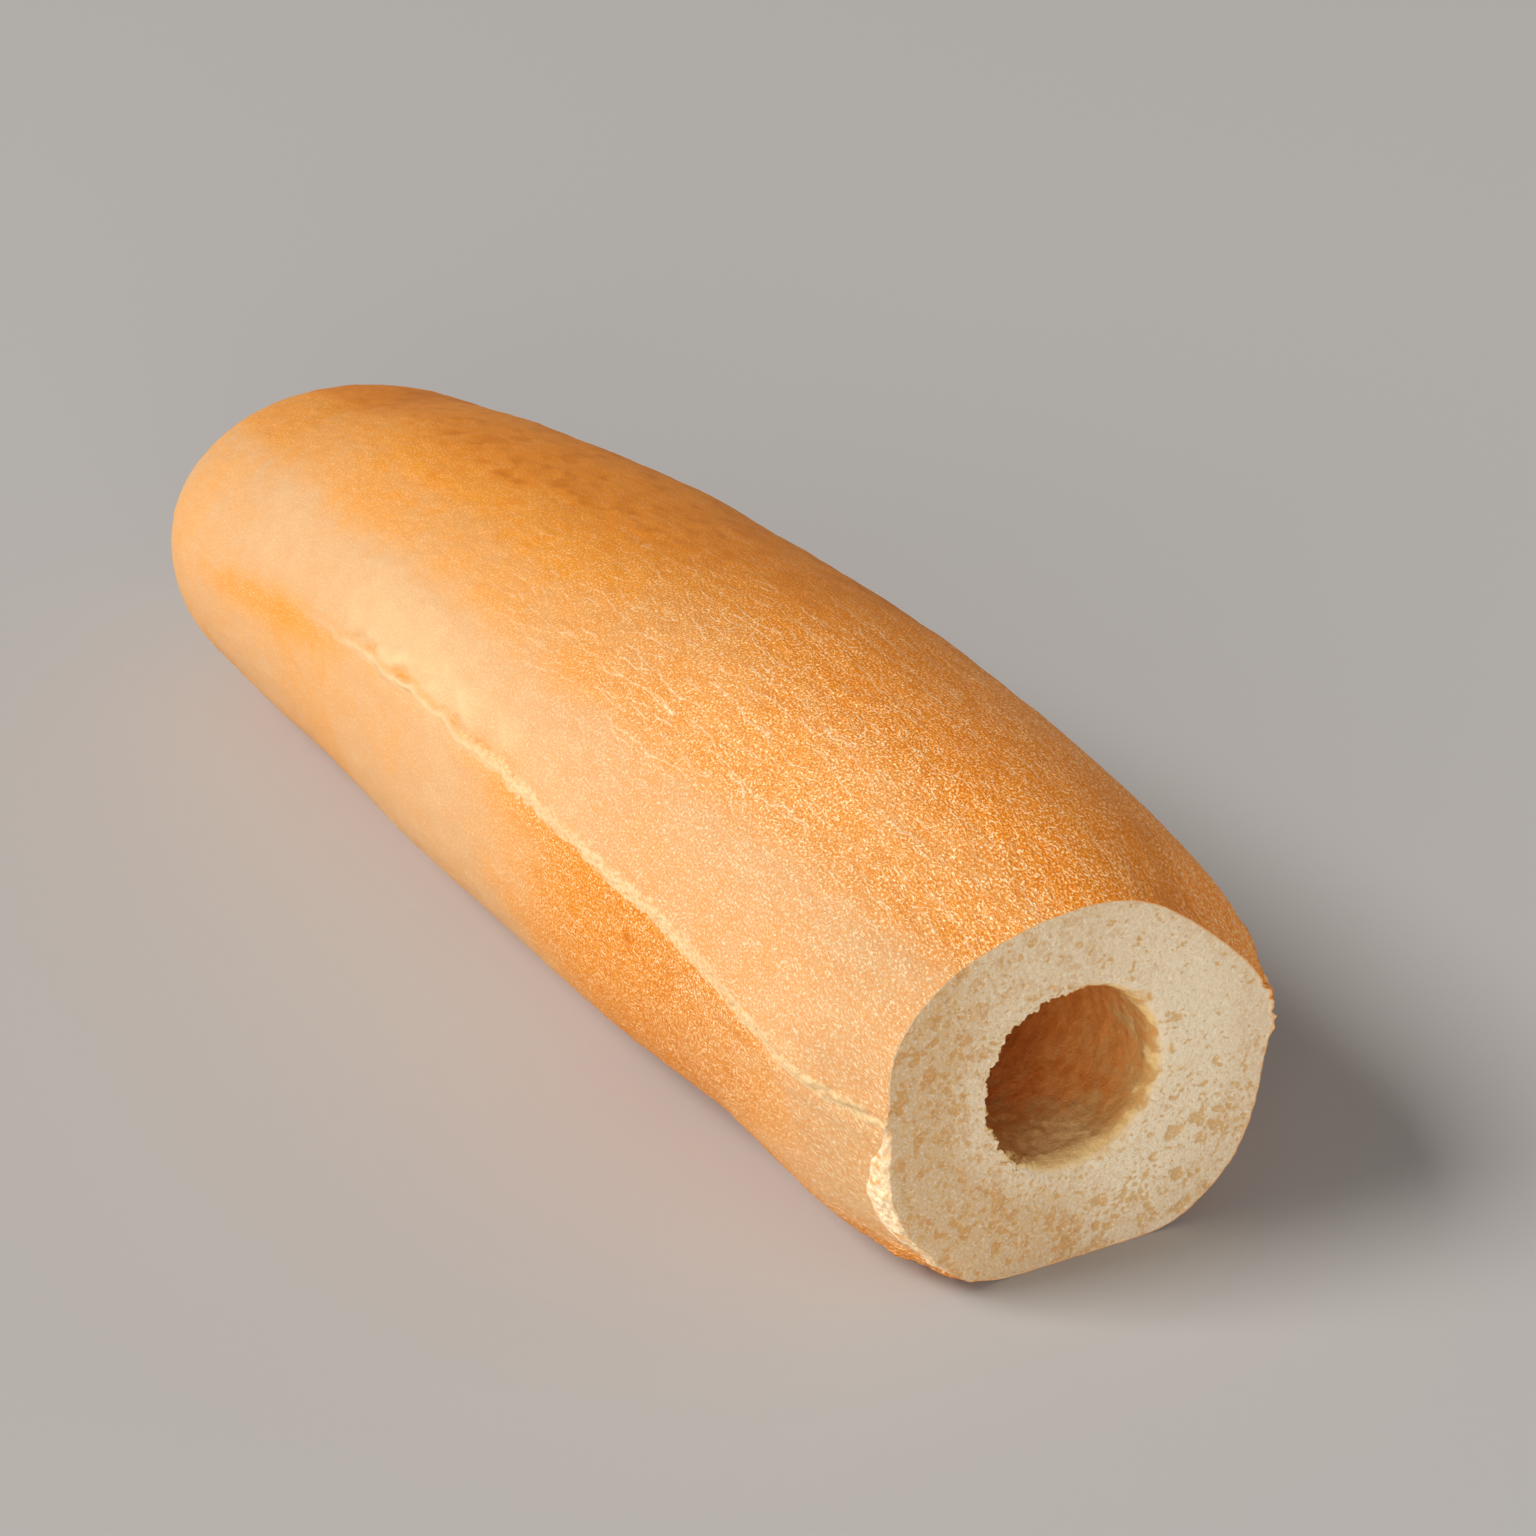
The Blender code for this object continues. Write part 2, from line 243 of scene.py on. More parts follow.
def spread_columns(share, start, end, count):
    # Angles from start to end in steps of equal length along the section, one row for each share
    fine = 600
    rows = []
    for one, first, last in zip(share, start, end):
        angles = np.linspace(first, last, fine)
        y, z = section(np.full(fine, one), angles)
        length = np.concatenate([[0.0], np.cumsum(np.hypot(np.diff(y), np.diff(z)))])
        rows.append(np.interp(np.linspace(0.0, length[-1], count + 1)[:-1], length, angles))
    return np.array(rows)


def cut_x(y, z):
    return math.tan(math.radians(CUT_YAW)) * y + math.tan(math.radians(CUT_PITCH)) * (z - HOLE_Z)


def skin_place(distance, y, z):
    scale = tip_scale(distance / LENGTH)
    y = y * scale
    z = TIP_HEIGHT + (z - TIP_HEIGHT) * scale
    x = -distance + cut_x(y, z) * np.clip(1.0 - distance / CUT_BLEND, 0.0, 1.0)
    share = distance / LENGTH
    return np.stack([x, y + BOW * 4.0 * share * (1.0 - share), z], -1)


def cut_angle(y, z):
    # Degrees round the hole, from 0 on the far side over 90 on top
    return np.degrees(np.arctan2(z - HOLE_Z, y - HOLE_Y)) % 360.0


def torn_share(y, z):
    # One at the torn corner of the cut and zero elsewhere
    angle = cut_angle(y, z)
    return smooth(172.0, 205.0, angle) * (1.0 - smooth(216.0, 238.0, angle))


def swells(x, y, z):
    # The solid's broad soft swells
    out = np.zeros(x.size)
    flat = zip(x.ravel(), y.ravel(), z.ravel())
    for i, (a, b, c) in enumerate(flat):
        broad = noise.noise(Vector((a * 0.042 + 3.1, b * 0.042 + 7.7, c * 0.042 + 1.3)))
        fine = noise.noise(Vector((a * 0.12 + 9.4, b * 0.12 + 2.2, c * 0.12 + 5.8)))
        out[i] = 0.42 * broad + 0.16 * fine
    return out.reshape(x.shape) * smooth(0.2, 5.0, z)


def grid_normals(points, wrap):
    # Normals of a grid of points, rows towards the tip and columns round the bun
    if wrap:
        across = np.roll(points, -1, axis=1) - np.roll(points, 1, axis=1)
    else:
        across = np.gradient(points, axis=1)
    down = np.gradient(points, axis=0)
    normals = np.cross(down, across)
    length = np.linalg.norm(normals, axis=-1, keepdims=True)
    return normals / np.maximum(length, 1e-12)


# Turning grids into pieces

def finish_piece(name, mesh, material):
    mesh.materials.append(material)
    for face in mesh.polygons:
        face.use_smooth = True
    piece = bpy.data.objects.new(name, mesh)
    bpy.context.scene.collection.objects.link(piece)
    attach(piece, "root")
    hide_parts("bun")
    return piece


def grid_piece(name, points, extras, material, wrap=False, inward=False, end=None, normals=None):
    # A sheet of four-sided faces through a grid of points, closed to an end point after its last row
    rows, columns = points.shape[:2]
    places = points.reshape(-1, 3)
    values = {key: value.reshape(rows * columns, -1) for key, value in extras.items()}
    index = np.arange(rows * columns).reshape(rows, columns)
    if wrap:
        index = np.concatenate([index, index[:, :1]], axis=1)
    a, b, c, d = index[:-1, :-1], index[1:, :-1], index[1:, 1:], index[:-1, 1:]
    corners = (a, d, c, b) if inward else (a, b, c, d)
    faces = np.stack(corners, -1).reshape(-1, 4).tolist()
    if end is not None:
        places = np.concatenate([places, [end]])
        values = {key: np.concatenate([value, value[-1:]]) for key, value in values.items()}
        last = len(places) - 1
        ring = index[-1]
        for i in range(len(ring) - 1):
            one, two = int(ring[i]), int(ring[i + 1])
            faces.append([two, one, last] if inward else [one, last, two])
    mesh = bpy.data.meshes.new(name)
    shifted = (places + np.array([CUT_X, CUT_Y, 0.0])) * MM
    mesh.from_pydata(shifted.tolist(), [], faces)
    mesh.update()
    for key, value in values.items():
        if value.shape[1] == 3:
            layer = mesh.attributes.new(key, "FLOAT_VECTOR", "POINT")
            layer.data.foreach_set("vector", value.astype(np.float32).ravel())
        else:
            layer = mesh.attributes.new(key, "FLOAT", "POINT")
            layer.data.foreach_set("value", value.astype(np.float32).ravel())
    piece = finish_piece(name, mesh, material)
    if normals is not None:
        # Normals taken from the whole skin keep its two pieces from showing their joint
        turned = normals.reshape(-1, 3)
        if end is not None:
            last = normals[-1].mean(axis=0)
            turned = np.concatenate([turned, [last / np.linalg.norm(last)]])
        mesh.normals_split_custom_set_from_vertices(turned.tolist())
    return piece


# Node helpers for the materials

class Nodes:
    def __init__(self, name):
        self.material = bpy.data.materials.new(name)
        self.material.use_nodes = True
        self.tree = self.material.node_tree
        self.shader = self.tree.nodes["Principled BSDF"]

    def add(self, kind, **values):
        node = self.tree.nodes.new(kind)
        for key, value in values.items():
            setattr(node, key, value)
        return node

    def link(self, source, target):
        if isinstance(source, (int, float)):
            target.default_value = source
        elif isinstance(source, tuple):
            target.default_value = source + (1.0,) if len(source) == 3 else source
        else:
            self.tree.links.new(source, target)

    def field(self, name):
        return self.add("ShaderNodeAttribute", attribute_name=name).outputs["Fac"]

    def place(self, name):
        return self.add("ShaderNodeAttribute", attribute_name=name).outputs["Vector"]

    def object_place(self):
        return self.add("ShaderNodeTexCoord").outputs["Object"]

    def math(self, operation, a, b=0.0, c=0.0, clamp=False):
        node = self.add("ShaderNodeMath", operation=operation, use_clamp=clamp)
        for value, socket in zip((a, b, c), node.inputs):
            self.link(value, socket)
        return node.outputs[0]

    def centred(self, value, size):
        # A field from 0 to 1 as a push up or down
        return self.math("MULTIPLY_ADD", value, size, -0.5 * size)

    def stretch(self, vector, scale, turn=0.0, offset=0.0):
        node = self.add("ShaderNodeMapping")
        self.link(vector, node.inputs["Vector"])
        node.inputs["Scale"].default_value = scale
        node.inputs["Rotation"].default_value = (0.0, 0.0, turn)
        node.inputs["Location"].default_value = (offset, 1.7 * offset, 0.6 * offset)
        return node.outputs[0]

    def noise(self, vector, scale, detail=2.0, rough=0.5, distortion=0.0):
        node = self.add("ShaderNodeTexNoise")
        self.link(vector, node.inputs["Vector"])
        node.inputs["Scale"].default_value = scale
        node.inputs["Detail"].default_value = detail
        node.inputs["Roughness"].default_value = rough
        node.inputs["Distortion"].default_value = distortion
        return node.outputs["Fac"]

    def steps(self, value, low, high, start=0.0, end=1.0):
        node = self.add("ShaderNodeMapRange", interpolation_type="SMOOTHSTEP")
        self.link(value, node.inputs["Value"])
        for key, number in (("From Min", low), ("From Max", high), ("To Min", start), ("To Max", end)):
            node.inputs[key].default_value = number
        return node.outputs["Result"]

    def ramp(self, value, stops):
        node = self.add("ShaderNodeValToRGB")
        self.link(value, node.inputs["Fac"])
        ramp = node.color_ramp
        for i, (position, colour) in enumerate(stops):
            element = ramp.elements[i] if i < 2 else ramp.elements.new(position)
            element.position = position
            element.color = colour + (1.0,)
        return node.outputs["Color"]

    def mix(self, share, one, two, blend="MIX"):
        node = self.add("ShaderNodeMix", data_type="RGBA", blend_type=blend)
        self.link(share, node.inputs[0])
        self.link(one, node.inputs[6])
        self.link(two, node.inputs[7])
        return node.outputs[2]

    def wrinkles(self, skin, spacing, offset):
        # Thin wavy lines along the bun, broken into short lengths
        slow = self.noise(self.stretch(skin, (0.13, 0.20, 1.0), 0.0, offset), 1.0, 2.0)
        quick = self.noise(self.stretch(skin, (0.7, 0.5, 1.0), 0.0, offset), 1.0, 1.0)
        split = self.add("ShaderNodeSeparateXYZ")
        self.link(skin, split.inputs[0])
        across = self.math("MULTIPLY_ADD", slow, 4.2, split.outputs[1])
        across = self.math("MULTIPLY_ADD", quick, 0.6, across)
        away = self.math("PINGPONG", self.math("MULTIPLY", across, 1.0 / spacing), 0.5)
        wide = 0.12 / spacing
        gaps = self.noise(self.stretch(skin, (0.20, 0.75, 1.0), 0.0, offset + 5.0), 1.0, 1.0)
        return self.math("MULTIPLY", self.steps(away, wide, 0.25 * wide), self.steps(gaps, 0.47, 0.60))

    def bump(self, height, distance):
        node = self.add("ShaderNodeBump")
        node.inputs["Strength"].default_value = 1.0
        node.inputs["Distance"].default_value = distance
        self.link(height, node.inputs["Height"])
        return node.outputs["Normal"]


# Colours as the light of day shows them
PALE_YELLOW = (0.71, 0.465, 0.235)
PEACH = (0.68, 0.385, 0.175)
LIGHT_ORANGE = (0.76, 0.34, 0.085)
ORANGE = (0.80, 0.305, 0.036)
BROWN_ORANGE = (0.76, 0.25, 0.020)
RED_BROWN = (0.58, 0.165, 0.012)
# Colours of the crust's pits, partly painted shade in them
PIT_SHADE_ORANGE = (0.74, 0.27, 0.050)
PIT_SHADE_BROWN = (0.62, 0.155, 0.009)
FLOUR = (1.0, 0.80, 0.52)
SEAM_PALE = (0.79, 0.57, 0.30)
CREAM = (0.90, 0.745, 0.53)
# Whiter cream on the highs of the crumb's fine texture, partly pale fibres and partly painted highlight
PALE_FIBRE_AND_GLINT = (0.98, 0.87, 0.68)
WARM_CREAM = (0.705, 0.49, 0.28)
ORANGE_TAN = (0.64, 0.31, 0.085)
TAN = (0.76, 0.47, 0.190)
# Deepest pores of the cut, partly painted shade in them
DARK_TAN_SHADE = (0.60, 0.30, 0.095)
PALE_TOAST = (1.0, 0.70, 0.30)
TOAST = (0.74, 0.43, 0.150)
DARK_TOAST = (0.80, 0.325, 0.075)
DEEP_TOAST = (0.70, 0.225, 0.036)
FLOOR_GREY = (0.52, 0.497, 0.478)
WARM_WHITE = (1.0, 0.985, 0.965)
# What the colour is multiplied by over the shoulder by the cut: painted light that brightens it there
PAINTED_LIGHT_TINT = (1.42, 1.38, 1.26)


def crust_material():
    n = Nodes("baked_crust")
    place = n.object_place()
    skin = n.place("skin")
    amount = n.field("grain")
    patches = n.noise(place, 70.0, 3.0, 0.55)
    spots = n.noise(place, 330.0, 2.0, 0.5)
    shade = n.math("ADD", n.field("browning_and_shade"), n.centred(patches, 0.30))
    shade = n.math("ADD", shade, n.centred(spots, 0.24), clamp=True)
    colour = n.ramp(shade, (
        (0.0, PALE_YELLOW), (0.20, PEACH), (0.42, LIGHT_ORANGE),
        (0.62, ORANGE), (0.82, BROWN_ORANGE), (1.0, RED_BROWN),
    ))
    # Fine pale grain in clusters, with darker skin between: the pale specks are partly pale crumbs and
    # partly painted glints, the darker pits partly painted shade
    grain = n.noise(n.stretch(skin, (3.4, 4.6, 1.0), 0.2), 1.0, 2.0, 0.7, 0.15)
    flecks = n.noise(n.stretch(skin, (1.7, 2.6, 1.0), -0.3), 1.0, 3.0, 0.65, 0.2)
    chains = n.noise(n.stretch(skin, (0.42, 1.15, 1.0), 0.25), 1.0, 3.0, 0.6, 0.8)
    shifted = n.math("ADD", grain, n.centred(chains, 0.22))
    pits_and_shade = n.math("MULTIPLY", n.steps(shifted, 0.52, 0.42, 0.0, 0.95), amount)
    specks_and_glints = n.math("MULTIPLY", n.steps(shifted, 0.575, 0.64), amount)
    flecks_and_glints = n.math("MULTIPLY", n.steps(flecks, 0.60, 0.67, 0.0, 0.85), amount)
    colour = n.mix(pits_and_shade, colour, n.mix(n.steps(shade, 0.2, 0.6), PIT_SHADE_ORANGE, PIT_SHADE_BROWN))
    pale = n.mix(n.steps(shade, 0.6, 1.0), FLOUR, LIGHT_ORANGE)
    colour = n.mix(n.math("MAXIMUM", specks_and_glints, flecks_and_glints), colour, pale)
    # Painted light: brighter colour over the shoulder and along the far edge by the cut
    colour = n.mix(n.field("painted_light"), colour, PAINTED_LIGHT_TINT, "MULTIPLY")
    # Thin pale wrinkles along the bun
    wrinkle = n.math("MAXIMUM", n.wrinkles(skin, 1.5, 3.1), n.wrinkles(skin, 2.3, 8.7))
    share = n.math("MULTIPLY", n.field("wrinkle"), n.steps(flecks, 0.42, 0.56, 0.4, 1.0))
    wrinkle = n.math("MULTIPLY", wrinkle, share)
    colour = n.mix(n.math("MULTIPLY", wrinkle, 0.64), colour, pale)
    # Pale crumbly strip above the seam
    ragged = n.noise(n.stretch(skin, (1.1, 1.1, 1.0)), 1.0, 3.0, 0.65)
    over = n.math("ADD", n.field("over"), n.centred(ragged, 2.4))
    strip = n.math("MULTIPLY", n.steps(over, -0.5, -0.1), n.steps(over, 1.5, 0.9))
    strip = n.math("MULTIPLY", strip, n.field("seam"), clamp=True)
    strip = n.math("MULTIPLY", strip, n.steps(flecks, 0.41, 0.53, 0.2, 1.0))
    colour = n.mix(strip, colour, SEAM_PALE)
    pale = n.math("MULTIPLY", n.field("pale"), n.steps(spots, 0.25, 0.6, 0.5, 0.9))
    colour = n.mix(pale, colour, SEAM_PALE)
    n.link(colour, n.shader.inputs["Base Color"])
    n.link(n.steps(grain, 0.3, 0.7, 0.52, 0.64), n.shader.inputs["Roughness"])
    n.shader.inputs["Specular IOR Level"].default_value = 0.06
    height = n.math("ADD", n.math("MULTIPLY", grain, amount), n.math("MULTIPLY", wrinkle, 0.14))
    height = n.math("ADD", height, n.math("MULTIPLY", flecks, n.math("MULTIPLY", amount, 0.6)))
    n.link(n.bump(height, 0.00016), n.shader.inputs["Normal"])
    return n.material


def crumb_material():
    n = Nodes("bread_crumb")
    place = n.object_place()
    cloud = n.noise(place, 190.0, 3.0, 0.55)
    patch = n.noise(place, 800.0, 3.0, 0.6, 0.6)
    fluff = n.noise(place, 3000.0, 3.0, 0.7, 0.4)
    speck = n.noise(place, 3300.0, 2.0, 0.6)
    porous = n.field("porous")
    cream = n.mix(n.field("warm"), CREAM, WARM_CREAM)
    stain = n.math("MULTIPLY", n.steps(patch, 0.52, 0.70, 0.0, 0.60), porous)
    dots = n.math("MULTIPLY", n.steps(speck, 0.59, 0.68, 0.0, 0.90), porous)
    # Pores are tan where stained and darker where deep: partly stain and partly painted shade in their
    # hollows
    pore_stain_and_shade = n.steps(n.math("ADD", n.field("pore_stain_and_shade"), n.centred(patch, 0.5)), 0.06, 0.85)
    depth = n.math("MAXIMUM", pore_stain_and_shade, n.math("MAXIMUM", stain, dots))
    colour = n.mix(n.steps(depth, 0.0, 0.8, 0.0, 0.85), cream, TAN)
    blots = n.noise(place, 620.0, 2.0, 0.55, 0.4)
    blots = n.math("MULTIPLY", n.steps(blots, 0.53, 0.62, 0.0, 0.80), n.field("warm"))
    colour = n.mix(blots, colour, ORANGE_TAN)
    deep_pore_shade = n.math("ADD", n.math("MULTIPLY", n.field("warm"), 0.45), 0.15)
    colour = n.mix(n.math("MULTIPLY", n.steps(depth, 0.35, 0.9), deep_pore_shade), colour, DARK_TAN_SHADE)
    # Fine texture of the cut: whiter on the highs of the fluff noise, partly pale fibres and partly
    # painted highlight, and tan in its lows, partly painted shade
    pale = n.math("MULTIPLY_ADD", n.field("warm"), -0.15, 0.55)
    colour = n.mix(n.math("MULTIPLY", n.steps(fluff, 0.50, 0.66), pale), colour, PALE_FIBRE_AND_GLINT)
    colour = n.mix(n.steps(fluff, 0.47, 0.36, 0.0, 0.42), colour, TAN)
    # Browned skin of the hole, blotched towards its mouth
    finer = n.math("ADD", n.centred(patch, 1.0), n.centred(fluff, 0.3))
    blotch = n.math("ADD", n.centred(cloud, 0.7), finer)
    deep = n.steps(n.field("wall"), 0.0, 1.0, 0.45, 1.0)
    share = n.math("MULTIPLY", n.steps(n.field("toast"), 0.0, 0.15), deep)
    blotch = n.math("MULTIPLY", blotch, share)
    mottled = n.math("ADD", n.field("toast"), blotch, clamp=True)
    toast = n.ramp(mottled, ((0.0, PALE_TOAST), (0.30, TOAST), (0.68, DARK_TOAST), (1.0, DEEP_TOAST)))
    browned = n.math("MAXIMUM", n.steps(mottled, 0.0, 0.40), n.steps(n.field("wall"), 0.3, 1.0))
    colour = n.mix(browned, colour, toast)
    # Crust seen along the edge, and pale crumbs at the torn corner
    flour = n.math("MULTIPLY", n.field("flour"), n.steps(fluff, 0.36, 0.56, 0.2, 0.9))
    colour = n.mix(flour, colour, FLOUR)
    colour = n.mix(n.field("edge"), colour, ORANGE)
    n.link(colour, n.shader.inputs["Base Color"])
    n.shader.inputs["Roughness"].default_value = 0.85
    n.shader.inputs["Specular IOR Level"].default_value = 0.2
    n.link(n.bump(fluff, 0.00014), n.shader.inputs["Normal"])
    return n.material


# Crust

def skin_grid():
    # Rows of distances from the cut, closer near it, and equal columns between the two seams
    body = LENGTH - TIP_LENGTH
    u = np.linspace(0.0, 1.0, BODY_ROWS, endpoint=False)
    near = body * (0.62 * u + 0.38 * u ** 2.2)
    turn = 0.5 * math.pi * np.linspace(0.0, 1.0, TIP_ROWS, endpoint=False)
    distances = np.concatenate([near, body + TIP_LENGTH * np.sin(turn)])
    share = distances / LENGTH
    right, left = seam_angle(share, 1), seam_angle(share, -1)
    dome = spread_columns(share, right, left, DOME_COLUMNS)
    base = spread_columns(share, left, right + 2.0 * math.pi, BASE_COLUMNS)
    return distances, np.concatenate([dome, base], axis=1)


def seam_line(distance, side, z):
    # Height above the seam, which wanders a little up and down
    zigzag = bell(distance / LENGTH, 0.46, 0.13)
    wander = (0.40 + 0.9 * zigzag) * swirl(distance / 6.0, side * 3.0, 0.0, 21)
    wander = wander + (0.16 + 0.3 * zigzag) * swirl(distance / 2.4, side * 3.0, 0.0, 22)
    return z - along(SEAM_HEIGHT, distance / LENGTH) + wander


def skin_relief(distance, y, z, arc):
    # Lift of the skin above the smooth form, and the fields that colour it
    share = distance / LENGTH
    side = np.where(y > 0.0, 1.0, -1.0)
    over = seam_line(distance, side, z)
    fade = 1.0 - smooth(0.52, 0.66, share)
    strength = fade * (0.9 + 0.5 * swirl(distance / 9.0, side * 5.0, 0.0, 23))
    far_seam = bell(share, 0.46, 0.13)
    beads = layered(distance / 1.3, z / 1.0, side, 24, 3)
    strength = strength * np.where(y > 0.0, smooth(0.005, 0.06, share), 1.0)
    beaded = np.clip(0.35 + 1.9 * beads, -0.6, 1.5)
    lip = 0.24 * bell(over, 1.2, 1.1) + 0.22 * bell(over, 0.7, 0.7) * beaded
    thread = 0.34 * far_seam * bell(over, 0.25, 0.35)
    groove = -0.20 * bell(over, -0.3, 0.4) * (0.1 + 0.9 * smooth(0.15, 0.4, share))
    ridge = 0.16 * bell(over, -1.4, 0.9)
    puffs = np.clip(0.15 + 1.3 * swirl(distance / 4.6, z / 3.0, side, 25), 0.0, 1.0)
    puffs = 0.75 * far_seam * bell(over, 3.0, 2.0) * puffs
    dents = np.clip(2.2 * swirl(distance / 3.4, z / 1.8, side, 26) - 0.1, 0.0, 1.0)
    dents = far_seam * bell(over, 1.3, 0.8) * dents
    lift = strength * (lip + thread + groove + ridge) + fade * (puffs - 0.40 * dents)
    flange = FLANGE * bell(over, 0.6, 2.2) * (1.0 - smooth(0.02, 0.12, share))
    flakes = 0.6 * np.clip(0.6 + beads, 0.0, 1.3) * bell(over, 2.0, 2.6)
    flange = flange + flakes * (1.0 - smooth(0.0, 0.035, share))
    lift += np.where(y > 0.0, flange, 0.0)
    angle = (np.degrees(np.arctan2(z - AXIS_HEIGHT, y)) + 90.0) % 360.0 - 90.0
    on_dome = smooth(0.5, 6.0, over)
    # Wrinkles run along the bun, most of them over the shoulder and the ridge
    zone = on_dome * smooth(0.60, 0.30, share) * smooth(146.0, 128.0, angle) * smooth(40.0, 75.0, angle)
    zone = zone * (0.6 + 0.4 * smooth(0.03, 0.12, share)) * (1.0 - 0.5 * smooth(0.24, 0.40, share))
    hollows = 0.07 * layered(distance / 3.4, arc / 2.3, 0.0, 51, 2)
    coarse = 0.04 * layered(distance / 0.95, arc / 0.75, 0.0, 61, 2)
    lift += (hollows + coarse) * smooth(0.3, 3.0, z)
    pale = fade * (0.35 * far_seam * bell(over, 2.6, 2.4) + 1.0 * puffs + 3.0 * thread)
    pale = np.clip(pale - dents, 0.0, 0.9)
    seam = np.clip(strength, 0.0, 1.0) * smooth(0.44, 0.34, share)
    return lift, over, angle, pale, zone, seam, dents


def browning_and_shade_of(distance, angle, over, z, arc):
    # How far each place is baked, from pale to dark, with some painted shade along the seam
    share = distance / LENGTH
    dome = 0.20 + 0.22 * smooth(142.0, 127.0, angle) + 0.04 * smooth(112.0, 104.0, angle)
    dome = dome + 0.26 * smooth(106.0, 90.0, angle)
    dome = dome + 0.12 * bell(angle, 56.0, 12.0) * smooth(0.14, 0.05, share)
    # Paler again down the far side
    hidden = smooth(46.0, 16.0, angle)
    dome = dome - (0.08 + 0.32 * smooth(0.04, 0.16, share)) * hidden
    # Darkest along the ridge of its farther half
    farther = smooth(0.30, 0.40, share) * (1.0 - smooth(0.66, 0.80, share)) * (1.0 - hidden)
    dome = dome + 0.18 * farther * smooth(120.0, 110.0, angle) * (1.0 - 0.45 * smooth(102.0, 92.0, angle))
    dome = dome + 0.13 * bell(share, 0.31, 0.06) * smooth(90.0, 80.0, angle) * (1.0 - hidden)
    near_tip = smooth(0.72, 0.84, share)
    dome = dome + 0.08 * near_tip + 0.06 * near_tip * smooth(124.0, 114.0, angle)
    dome = dome - 0.11 * bell(over, 4.0, 5.0) * bell(share, 0.53, 0.15)
    spots = np.clip(1.8 * layered(distance / 3.6, arc / 2.4, 0.0, 161, 2) - 0.2, 0.0, 1.0)
    dome = dome + 0.18 * spots * bell(share, 0.60, 0.22) * smooth(132.0, 112.0, angle)
    place = share + 0.04 * swirl(z / 7.0, distance / 16.0, 0.0, 171)
    # The band is a little darker just below the seam: painted shade under the dome's lip
    band = along(BAND_BROWNING, place) + 0.05 * bell(over, -0.8, 1.6)
    dent = 0.23 * bell(over, -1.0, 2.4) * bell(share, 0.70, 0.08)
    speck = 0.5 * bell(distance, 36.0, 0.9) * bell(over, -4.0, 0.7)
    under = 0.16 * smooth(9.0, 1.0, z) + 0.26 * smooth(8.0, 2.5, z)
    blur = 0.25 + 4.5 * smooth(0.56, 0.70, share)
    below = smooth(0.25, -0.25, over / blur) * (1.0 - smooth(0.78, 0.92, share))
    dome = np.minimum(dome, 0.90)
    dome = dome + (0.30 - dome) * smooth(0.95, 0.995, share)
    return dome + (band + under + speck - dome) * below + dent


def smooth_crust():
    # Grid of places on the smooth form, which ends a little way back at the torn corner
    distances, angles = skin_grid()
    distance = np.repeat(distances[:, None], angles.shape[1], axis=1)
    y, z = section(distance / LENGTH, angles)
    edge = TORN_DEPTH * torn_share(y, z) * (1.0 + 0.30 * swirl(y / 3.2, z / 3.2, 0.0, 71))
    edge = edge + 0.10 * swirl(y / 0.8, z / 0.8, 0.0, 73)
    distance = distance + np.clip(edge, -0.1, 9.0) * np.clip(1.0 - distance / 10.0, 0.0, 1.0)
    y, z = section(distance / LENGTH, angles)
    base = skin_place(distance, y, z)
    # Length round each section, counted from its top
    steps = np.linalg.norm(np.diff(np.concatenate([base, base[:, :1]], axis=1), axis=1), axis=2)
    arc = np.concatenate([np.zeros((len(base), 1)), np.cumsum(steps, axis=1)], axis=1)
    top = np.argmin(np.abs(angles - 0.5 * math.pi), axis=1)
    return distance, y, z, base, arc - arc[np.arange(len(arc)), top][:, None]


